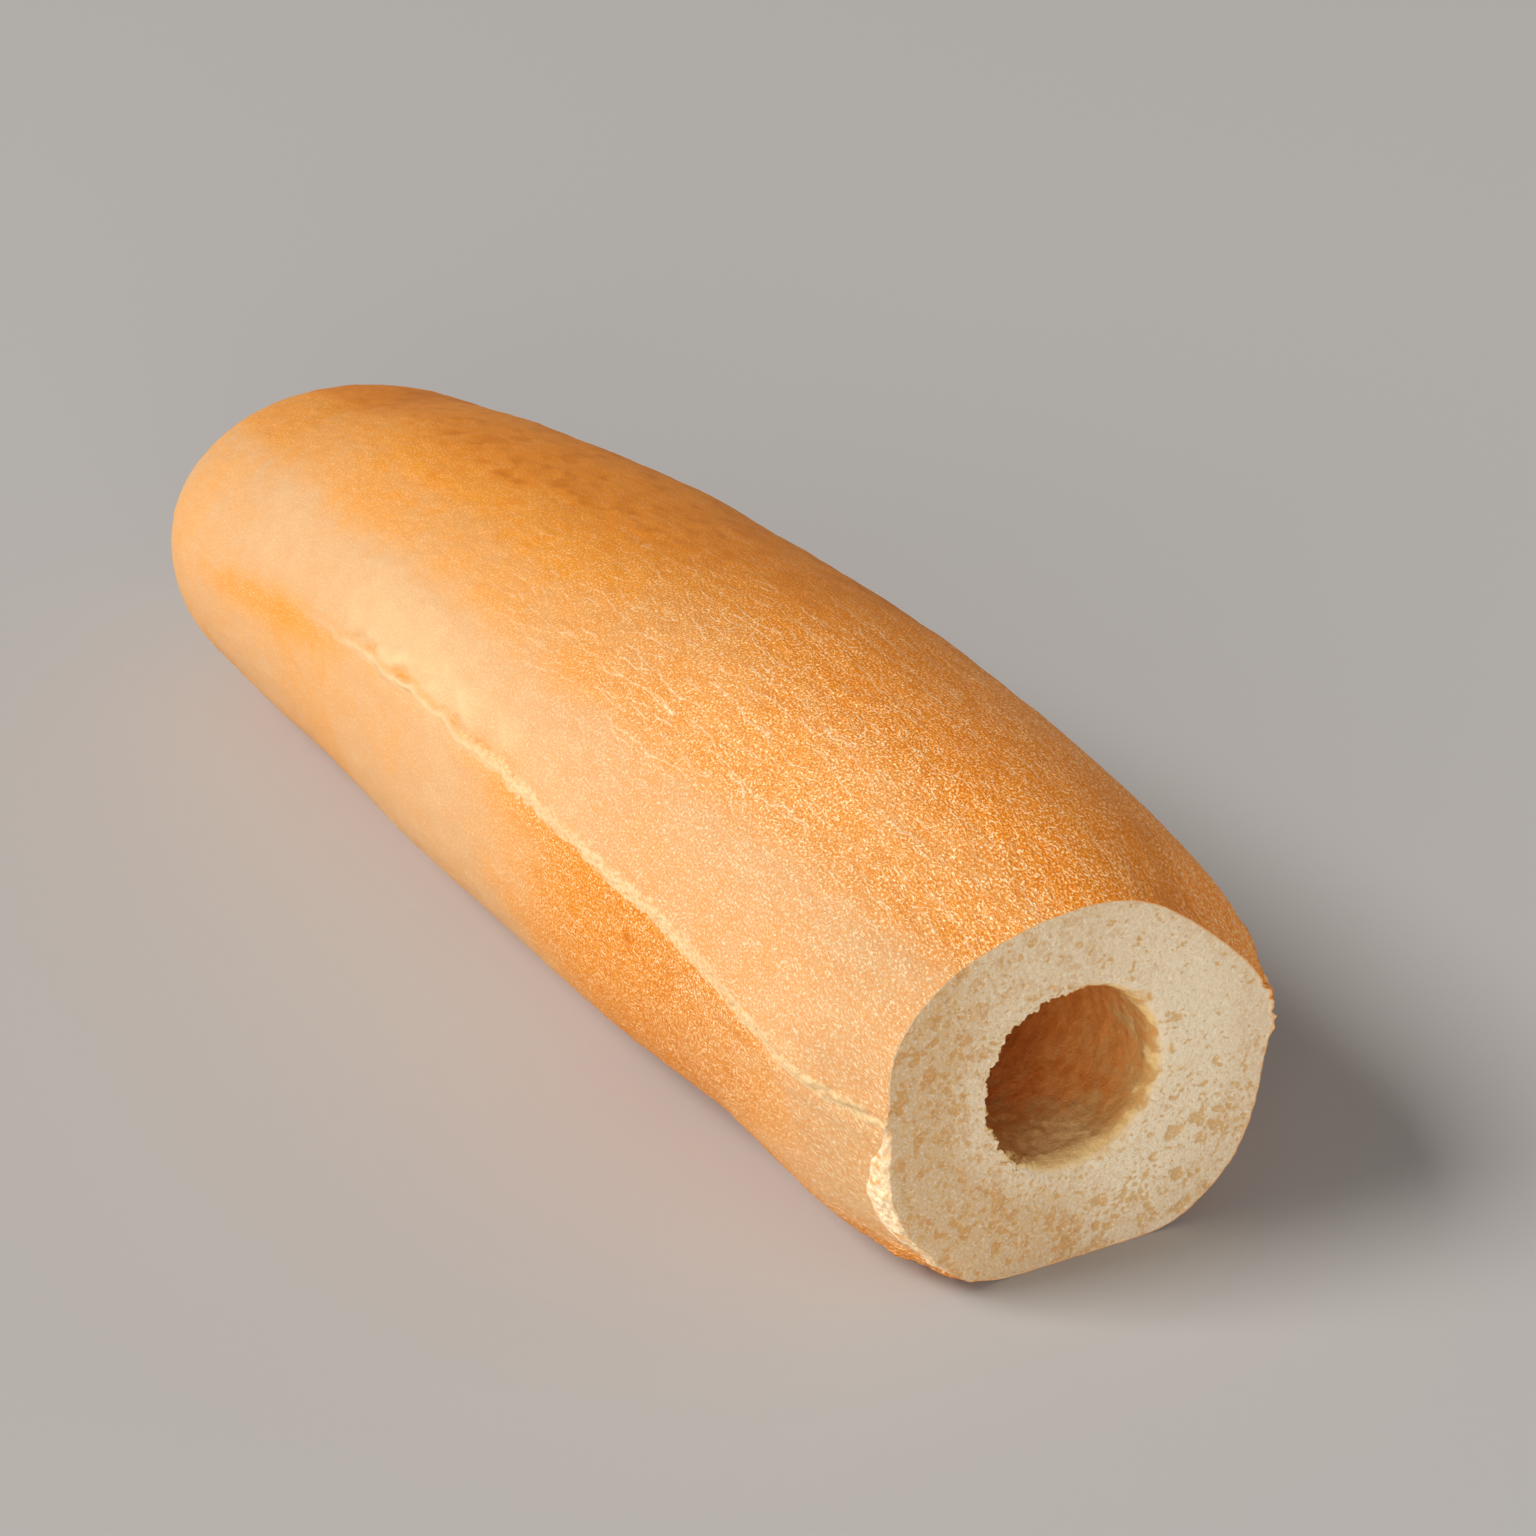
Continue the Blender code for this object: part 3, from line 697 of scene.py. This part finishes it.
def make_crust(material):
    distance, y, z, base, arc = smooth_crust()
    share = distance / LENGTH
    around = arc[:, :-1]
    lift, over, angle, pale, zone, seam, dents = skin_relief(distance, y, z, around)
    # Rough brown crumbs of crust at the low left corner of the cut
    corner = (1.0 - smooth(3.0, 12.0, distance)) * bell(cut_angle(y, z), 231.0, 11.0)
    crumbs = layered(distance / 2.2, around / 2.2, 0.0, 81, 3)
    lift = lift + TORN_CRUST * corner * (0.75 + 0.7 * crumbs)
    scale = tip_scale(share)
    lift = lift * np.minimum(1.0, scale * 1.5) + swells(distance, y, z) * scale
    lift = lift * smooth(0.0, 1.0, z)
    normals = grid_normals(base, True)
    points = base + normals * lift[..., None]
    points[..., 2] = np.maximum(points[..., 2], 0.0)
    browning_and_shade = browning_and_shade_of(distance, angle, over, z, around) + 0.11 * dents
    browning_and_shade = browning_and_shade + 0.3 * corner * np.clip(0.3 + crumbs, 0.0, 1.0)
    # Painted shadow: a thin darker line just above the thread of the far seam
    browning_and_shade = browning_and_shade + 0.25 * bell(share, 0.46, 0.13) * bell(over, 1.0, 0.35)
    browning_and_shade = np.clip(browning_and_shade, 0.0, 1.0)
    # Painted light over the shoulder by the cut, strongest along the far edge, where the lamps leave the
    # crust too dark
    painted_light = (1.0 - smooth(0.16, 0.36, share)) * smooth(140.0, 116.0, angle) * smooth(0.5, 3.0, over)
    edge = smooth(50.0, 36.0, angle) * (1.0 - smooth(0.04, 0.11, share))
    painted_light = painted_light * (0.50 - 0.24 * bell(angle, 70.0, 15.0) + 0.45 * edge)
    grain = (0.30 + 0.70 * smooth(0.50, 0.12, share)) * (0.65 + 0.35 * smooth(0.2, 0.5, browning_and_shade))
    fields = {
        "browning_and_shade": browning_and_shade,
        "pale": pale,
        "wrinkle": zone,
        "grain": grain,
        "painted_light": painted_light,
        "over": over,
        "seam": seam,
    }
    joined = {key: np.concatenate([value, value[:, :1]], axis=1) for key, value in fields.items()}
    far = np.concatenate([distance, distance[:, :1]], axis=1)
    joined["skin"] = np.stack([far, arc, np.zeros_like(arc)], -1)
    whole = np.concatenate([points, points[:, :1]], axis=1)
    turned = grid_normals(points, True)
    turned = np.concatenate([turned, turned[:, :1]], axis=1)
    tip = points[-1].mean(axis=0)
    spans = {"crust_dome": (0, DOME_COLUMNS), "crust_base": (DOME_COLUMNS, DOME_COLUMNS + BASE_COLUMNS)}
    for name, (first, last) in spans.items():
        part = slice(first, last + 1)
        extras = {key: value[:, part] for key, value in joined.items()}
        grid_piece(name, whole[:, part], extras, material, end=tip, normals=turned[:, part])
    return points[0]


# Cut face and the mouth of the hole

def softness(angle):
    # One where the rim of the hole is smeared soft, on its right, and zero where it is ragged
    return smooth(118.0, 78.0, np.abs((np.degrees(angle) + 17.0 + 180.0) % 360.0 - 180.0))


def wall_radius(depth, angle):
    # The solid's own uneven wall
    radius = HOLE_RADIUS + (HOLE_END_RADIUS - HOLE_RADIUS) * depth / HOLE_DEPTH
    out = np.zeros(depth.size)
    for i, (d, a) in enumerate(zip(depth.ravel(), angle.ravel())):
        place = Vector((d * 0.11, 2.2 * math.cos(a), 2.2 * math.sin(a)))
        out[i] = 0.22 * noise.noise(place) + 0.08 * noise.noise(place * 2.7)
    return radius + out.reshape(depth.shape)


def wall_place(depth, angle, radius):
    y = HOLE_Y + radius * np.cos(angle)
    z = HOLE_Z + HOLE_RISE * depth / HOLE_DEPTH + radius * np.sin(angle)
    x = cut_x(y, z) * np.clip(1.0 - depth / CUT_BLEND, 0.0, 1.0) - depth
    return np.stack([x, y, z], -1)


def wall_relief(x, y, z, depth):
    # Crumbly surface of the wall, left out for a moment where its two pieces meet
    rough = 0.08 * layered(x / 1.3, y / 1.3, z / 1.3, 121, 3)
    return rough * smooth(0.0, 1.0, np.abs(depth - WALL_DEPTH))


def wall_browning(y, z, depth, angle):
    # Browned from the rim on, blotched where the rim is smeared, and palest along the low side, partly
    # less toasted there and partly painted light for light bounced into the mouth
    soft = softness(angle)
    low = bell(np.degrees(angle) % 360.0, LOW_SIDE, 34.0)
    wander = 2.2 * layered(y / 2.0, z / 2.0, depth / 2.0, 131, 3) * (0.15 + 0.85 * soft)
    # The low side starts paler and browns more slowly: painted light for light bounced into the low mouth
    start = (0.32 - 0.30 * low) * smooth(-1.9 * soft - 0.05, 0.3 + 1.6 * soft, depth + wander)
    deeper = 0.36 * np.clip((depth + wander) / (4.0 + 2.0 * soft + 11.0 * low), 0.0, 1.0)
    return start + deeper + 0.28 * smooth(4.0, 16.0, depth)


def crumb_sides(y, z):
    # How far a place lies on the low and on the left side of the cut, where its pores are larger
    low = 0.5 + 0.5 * np.tanh((15.0 - z) / 6.0)
    left = 0.5 - 0.5 * np.tanh((y + 4.0) / 6.0)
    return low, left


def scatter_pores(y, z):
    # Depth of open pores at each point of the cut, and how tan it is there
    rng = random.Random(17)
    depth = np.zeros(y.shape)
    stain = np.zeros(y.shape)
    warp_y = y + 0.26 * swirl(y / 0.7, z / 0.7, 0.0, 91) + 0.09 * swirl(y / 0.26, z / 0.26, 0.0, 93)
    warp_z = z + 0.26 * swirl(y / 0.7, z / 0.7, 5.0, 92) + 0.09 * swirl(y / 0.26, z / 0.26, 5.0, 94)
    cell = 1.5
    bins = {}
    keys = np.floor(warp_y / cell).astype(int) * 1000 + np.floor(warp_z / cell).astype(int)
    order = np.argsort(keys.ravel(), kind="stable")
    ordered = keys.ravel()[order]
    starts = np.flatnonzero(np.concatenate([[True], np.diff(ordered) != 0]))
    for begin, end in zip(starts, np.concatenate([starts[1:], [len(ordered)]])):
        bins[int(ordered[begin])] = order[begin:end]
    flat_y, flat_z = warp_y.ravel(), warp_z.ravel()
    flat_depth, flat_stain = depth.ravel(), stain.ravel()
    py, pz = 0.0, 0.0
    for _ in range(3000):
        if rng.random() < 0.45:
            py, pz = py + rng.gauss(0.0, 0.9), pz + rng.gauss(0.0, 0.7)
        else:
            py, pz = rng.uniform(-21.0, 21.0), rng.uniform(0.0, 38.0)
        size = min(0.95, 0.13 * math.exp(abs(rng.gauss(0.0, 0.68))))
        low, left = crumb_sides(py, pz)
        if rng.random() > 0.40 + 0.6 * max(low, left):
            continue
        if size > 0.35 and rng.random() > 0.12 + 0.85 * max(low, 0.5 * left):
            continue
        turn = rng.uniform(-0.7, 0.9)
        long = rng.uniform(1.0, 1.9)
        bottom = rng.uniform(0.3, 0.8) * size + 0.04
        column, row = math.floor(py / cell), math.floor(pz / cell)
        near = [bins[(column + i) * 1000 + row + j] for i in (-1, 0, 1) for j in (-1, 0, 1)
                if (column + i) * 1000 + row + j in bins]
        if not near:
            continue
        near = np.concatenate(near)
        dy, dz = flat_y[near] - py, flat_z[near] - pz
        a = (dy * math.cos(turn) + dz * math.sin(turn)) / (size * long)
        b = (dz * math.cos(turn) - dy * math.sin(turn)) / size
        away = np.sqrt(a * a + b * b)
        hollow = bottom * (1.0 - smooth(0.15, 1.0, away))
        flat_depth[near] = np.maximum(flat_depth[near], hollow)
        tint = rng.uniform(0.5, 1.0) * (1.0 - smooth(0.1, 1.25, away))
        flat_stain[near] = np.maximum(flat_stain[near], tint)
    return flat_depth.reshape(y.shape), flat_stain.reshape(y.shape)


def rim_teeth(angle, path, soft):
    # Ragged edge of the hole, which differs along the way down its wall
    y, z = 9.0 * np.cos(angle), 9.0 * np.sin(angle)
    teeth = 0.42 * swirl(y / 1.7, z / 1.7, path / 1.7, 101)
    teeth = teeth + 0.34 * swirl(y / 0.7, z / 0.7, path / 0.7, 102)
    teeth = teeth + 0.34 * swirl(y / 0.3, z / 0.3, path / 0.3, 103)
    return teeth * (1.0 - soft) ** 1.3


def face_rows(rim):
    # Rows of places from the crust's edge across the cut, over the rim of the hole and down its wall.
    # A row's kind says where it is: -1 at the crust, 0 where the flat cut starts, 1 where it ends
    # at the hole's rim, 2 where the wall starts and 3 in the last row.
    middle = 0.5 * (rim + np.roll(rim, -1, axis=0))
    outer = np.stack([rim, middle], axis=1).reshape(-1, 3)
    angle = np.arctan2(outer[:, 2] - HOLE_Z, outer[:, 1] - HOLE_Y)
    cos, sin = np.cos(angle), np.sin(angle)
    reach = np.hypot(outer[:, 1] - HOLE_Y, outer[:, 2] - HOLE_Z)
    soft = softness(angle)
    surface = np.zeros_like(angle)
    mouth = wall_radius(surface, angle)
    fillet = 0.18 + 1.3 * soft * (1.0 + 0.3 * swirl(3.0 * cos, 3.0 * sin, 0.0, 104))
    fillet = fillet + 0.75 * bell(np.degrees(angle) % 360.0, LOW_SIDE, 40.0)
    width = TORN_WIDTH * (0.5 + 0.5 * torn_share(outer[:, 1], outer[:, 2]))
    # The crust's edge, calmed by a moving mean
    kernel = np.hanning(29)[1:-1]
    padded = np.concatenate([outer[-13:, 0], outer[:, 0], outer[:13, 0]])
    calm = np.convolve(padded, kernel / kernel.sum(), "valid")
    rows = []
    for i in range(EDGE_ROWS):
        t = i / EDGE_ROWS
        radius = reach - width * t
        y, z = HOLE_Y + radius * cos, HOLE_Z + radius * sin
        start = outer[:, 0] + (calm - outer[:, 0]) * smooth(0.0, 0.4, t)
        x = start + (cut_x(y, z) - start) * (t ** 0.8)
        rows.append((np.stack([x, y, z], -1), surface, t - 1.0))
    for i in range(PLANE_ROWS):
        t = i / PLANE_ROWS
        inner = mouth + fillet + rim_teeth(angle, 0.0, soft) * t ** 3
        radius = (reach - width) * (1.0 - t) + inner * t
        y, z = HOLE_Y + radius * cos, HOLE_Z + radius * sin
        rows.append((np.stack([cut_x(y, z), y, z], -1), surface, t))
    for i in range(FILLET_ROWS):
        turn = 0.5 * math.pi * i / FILLET_ROWS
        radius = mouth + rim_teeth(angle, fillet * turn, soft) + fillet * (1.0 - math.sin(turn))
        down = fillet * (1.0 - math.cos(turn))
        y, z = HOLE_Y + radius * cos, HOLE_Z + radius * sin
        rows.append((np.stack([cut_x(y, z) - down, y, z], -1), down, 1.0 + i / FILLET_ROWS))
    for i in range(LIP_ROWS + 1):
        t = i / LIP_ROWS
        down = fillet + (LIP_DEPTH - fillet) * t
        teeth = rim_teeth(angle, down + 0.57 * fillet, soft) * (1.0 - smooth(0.2, 1.0, t))
        radius = wall_radius(down, angle) + teeth
        rows.append((wall_place(down, angle, radius), down, 2.0 + t))
    places, depths, kinds = zip(*rows)
    kind = np.repeat(np.array(kinds)[:, None], len(angle), axis=1)
    return np.array(places), np.array(depths), kind, angle


def make_face(material, rim):
    points, down, kind, angle = face_rows(rim)
    wall_angles = angle[::2]
    angle = np.repeat(angle[None], len(points), axis=0)
    soft = softness(angle)
    x, y, z = points[..., 0], points[..., 1], points[..., 2]
    hollow, stain = scatter_pores(y, z)
    on_face = smooth(-1.0, -0.4, kind) * (1.0 - smooth(1.0, 1.6, kind))
    on_wall = smooth(1.0, 1.7, kind)
    turned = np.degrees(angle) % 360.0
    torn_line = torn_share(y, z)
    strip = torn_line * (1.0 - smooth(-0.3, 0.1, kind))
    fluff = 0.06 * layered(y / 0.8, z / 0.8, x / 0.8, 111, 3) * (1.0 - on_wall)
    crumbs = 0.32 * layered(x / 0.75, y / 0.75, z / 0.75, 122, 3)
    lift = fluff - 0.36 * hollow * on_face + wall_relief(x, y, z, down) * on_wall + crumbs * strip
    lift = lift * smooth(-1.0, -0.75, kind)
    inward = smooth(2.1, 2.7, kind)[..., None]
    towards = np.stack([np.zeros_like(angle), -np.cos(angle), -np.sin(angle)], -1)
    normals = -grid_normals(points, True) * (1.0 - inward) + towards * inward
    points = points + normals * lift[..., None]
    points[..., 2] = np.maximum(points[..., 2], 0.0)
    rim = wall_radius(np.zeros_like(angle), angle)
    outside = np.maximum(0.0, np.hypot(y - HOLE_Y, z - HOLE_Z) - rim)
    browned = wall_browning(y, z, down - 0.9 * outside, angle)
    browned = browned * np.maximum(smooth(1.0, 1.5, kind), soft * smooth(0.6, 0.85, kind))
    # Pore colour from the stains and from the pores' depth, the depth part being painted shade
    pore_stain_and_shade = np.clip(hollow * 0.8 + 0.9 * stain, 0.0, 1.0) * on_face + 0.2 * on_wall
    thin = 0.40 + 0.35 * np.maximum(bell(turned, 0.0, 60.0), bell(turned, 330.0, 60.0))
    line = np.clip(1.0 - np.abs(kind + 1.0) / thin, 0.0, 1.0) * (1.0 - torn_line)
    pale_line = bell(turned, 165.0, 32.0)
    bits = (torn_line + bell(turned, 240.0, 14.0)) * (1.0 - smooth(-0.9, 0.1, kind))
    bits = np.clip(bits * (2.0 * layered(x / 0.8, z / 0.8, y / 0.8, 151, 3) - 0.25), 0.0, 0.75)
    away = np.hypot(y - HOLE_Y, z - HOLE_Z)
    warm = smooth(110.0, 160.0, turned) * (1.0 - smooth(250.0, 300.0, turned))
    warm = warm * (0.25 + 0.75 * smooth(9.5, 14.0, away)) + 0.35 * smooth(15.0, 20.0, away)
    warm = warm + 0.4 * bell(turned, 95.0, 45.0)
    low, left = crumb_sides(y, z)
    fields = {
        "pore_stain_and_shade": pore_stain_and_shade,
        "toast": browned,
        "wall": on_wall,
        "edge": np.clip(0.85 * line * (1.0 - pale_line) + bits, 0.0, 1.0),
        "warm": np.clip(warm, 0.0, 1.0) * on_face,
        "flour": np.maximum(strip, 0.9 * line * pale_line),
        "porous": (0.35 + 0.65 * np.maximum(low, left)) * on_face,
    }
    grid_piece("crumb_face", points, fields, material, wrap=True, inward=True)
    return wall_angles


def wall_fields(y, z, depth, angle):
    nothing = np.zeros(y.shape)
    browned = wall_browning(y, z, depth, angle)
    fields = {"edge": nothing, "warm": nothing, "flour": nothing, "porous": nothing}
    fields.update({"pore_stain_and_shade": nothing + 0.2, "toast": browned, "wall": nothing + 1.0})
    return fields


def make_wall(material, angles):
    # The wall of the hole as far as one can look in
    depth = np.linspace(LIP_DEPTH, WALL_DEPTH, WALL_ROWS + 1)
    depth = np.repeat(depth[:, None], len(angles), axis=1)
    angle = np.repeat(angles[None], len(depth), axis=0)
    points = wall_place(depth, angle, wall_radius(depth, angle))
    x, y, z = points[..., 0], points[..., 1], points[..., 2]
    lift = wall_relief(x, y, z, depth)
    points = points + np.stack([np.zeros_like(x), -np.cos(angle), -np.sin(angle)], -1) * lift[..., None]
    fields = wall_fields(y, z, depth, angle)
    grid_piece("crumb_wall", points, fields, material, wrap=True, inward=True)


def make_bore(material):
    # The rest of the hole, to its rounded end
    angles = np.linspace(0.0, 2.0 * math.pi, BORE_COLUMNS, endpoint=False)
    straight = HOLE_DEPTH - HOLE_END_RADIUS
    steps = np.linspace(0.0, 1.0, BORE_ROWS)
    depths = WALL_DEPTH + (straight - WALL_DEPTH) * (0.5 * steps + 0.5 * steps ** 2)
    turns = 0.5 * math.pi * np.arange(1, BORE_END_ROWS) / BORE_END_ROWS
    depth = np.concatenate([depths, straight + HOLE_END_RADIUS * np.sin(turns)])
    shrink = np.concatenate([np.ones(BORE_ROWS), np.cos(turns)])
    depth = np.repeat(depth[:, None], BORE_COLUMNS, axis=1)
    shrink = np.repeat(shrink[:, None], BORE_COLUMNS, axis=1)
    angle = np.repeat(angles[None], len(depth), axis=0)
    radius = wall_radius(np.minimum(depth, straight), angle)
    points = wall_place(depth, angle, radius)
    lift = wall_relief(points[..., 0], points[..., 1], points[..., 2], depth)
    points = wall_place(depth, angle, (radius - lift) * shrink)
    fields = wall_fields(points[..., 1], points[..., 2], depth, angle)
    end = points[-1].mean(axis=0)
    grid_piece("crumb_bore", points, fields, material, wrap=True, inward=True, end=end)


# Floor, light and camera

def make_floor():
    mesh = bpy.data.meshes.new("floor")
    half = 3.0
    corners = [(-half, -half, 0.0), (half, -half, 0.0), (half, half, 0.0), (-half, half, 0.0)]
    mesh.from_pydata(corners, [], [(0, 1, 2, 3)])
    floor = bpy.data.objects.new("floor", mesh)
    bpy.context.scene.collection.objects.link(floor)
    material = bpy.data.materials.new("floor_grey")
    material.use_nodes = True
    shader = material.node_tree.nodes["Principled BSDF"]
    shader.inputs["Base Color"].default_value = FLOOR_GREY + (1.0,)
    shader.inputs["Roughness"].default_value = 0.8
    shader.inputs["Specular IOR Level"].default_value = 0.2
    mesh.materials.append(material)


def add_lamp(name, place, width, height, energy, tint):
    lamp = bpy.data.lights.new(name, "AREA")
    lamp.shape = "RECTANGLE"
    lamp.size = width
    lamp.size_y = height
    lamp.energy = energy
    lamp.color = tint
    item = bpy.data.objects.new(name, lamp)
    bpy.context.scene.collection.objects.link(item)
    item.location = place
    item.rotation_euler = Vector(place).to_track_quat("Z", "Y").to_euler()


def make_light():
    world = bpy.data.worlds.new("studio")
    world.use_nodes = True
    nodes, links = world.node_tree.nodes, world.node_tree.links
    back = nodes["Background"]
    back.inputs["Color"].default_value = WARM_WHITE + (1.0,)
    # Pale walls round the bun and a darker ceiling
    split = nodes.new("ShaderNodeSeparateXYZ")
    links.new(nodes.new("ShaderNodeTexCoord").outputs["Generated"], split.inputs[0])
    fall = nodes.new("ShaderNodeMapRange")
    fall.interpolation_type = "SMOOTHSTEP"
    links.new(split.outputs[2], fall.inputs["Value"])
    for key, number in (("From Min", 0.1), ("From Max", 0.7), ("To Min", 0.62), ("To Max", 0.12)):
        fall.inputs[key].default_value = number
    links.new(fall.outputs["Result"], back.inputs["Strength"])
    bpy.context.scene.world = world
    # A soft window on the bun's left, a low reflector in front of the cut and a low card on each side
    add_lamp("window", (-2.43, -5.22, 5.56), 3.0, 3.0, 530.0, (1.0, 0.99, 0.97))
    add_lamp("reflector", (0.96, -0.62, 0.24), 0.9, 0.30, 5.2, WARM_WHITE)
    add_lamp("right_card", (0.25, 1.20, 0.16), 0.8, 0.25, 2.0, WARM_WHITE)
    add_lamp("left_card", (-0.10, -1.30, 0.16), 0.9, 0.25, 3.4, WARM_WHITE)


def make_camera():
    azimuth = math.radians(CAMERA_AZIMUTH)
    elevation = math.radians(CAMERA_ELEVATION)
    roll = math.radians(CAMERA_ROLL)
    target = Vector(CAMERA_TARGET) + Vector((CUT_X, CUT_Y, 0.0))
    back = Vector((
        math.sin(azimuth) * math.cos(elevation),
        -math.cos(azimuth) * math.cos(elevation),
        math.sin(elevation),
    ))
    right = Vector((math.cos(azimuth), math.sin(azimuth), 0.0))
    up = back.cross(right)
    turned_right = right * math.cos(roll) + up * math.sin(roll)
    turned_up = up * math.cos(roll) - right * math.sin(roll)
    turn = Matrix((turned_right, turned_up, back)).transposed().to_4x4()
    data = bpy.data.cameras.new("camera")
    data.sensor_width = 36.0
    data.lens = CAMERA_LENS
    data.clip_start = 0.01
    camera = bpy.data.objects.new("camera", data)
    camera.matrix_world = Matrix.Translation((target + back * CAMERA_DISTANCE) * MM) @ turn
    bpy.context.scene.collection.objects.link(camera)
    bpy.context.scene.camera = camera


bpy.context.scene.view_settings.view_transform = "Standard"
make_camera()
make_light()
make_floor()
crust = crust_material()
crumb = crumb_material()
rim_points = make_crust(crust)
hole_angles = make_face(crumb, rim_points)
make_wall(crumb, hole_angles)
make_bore(crumb)
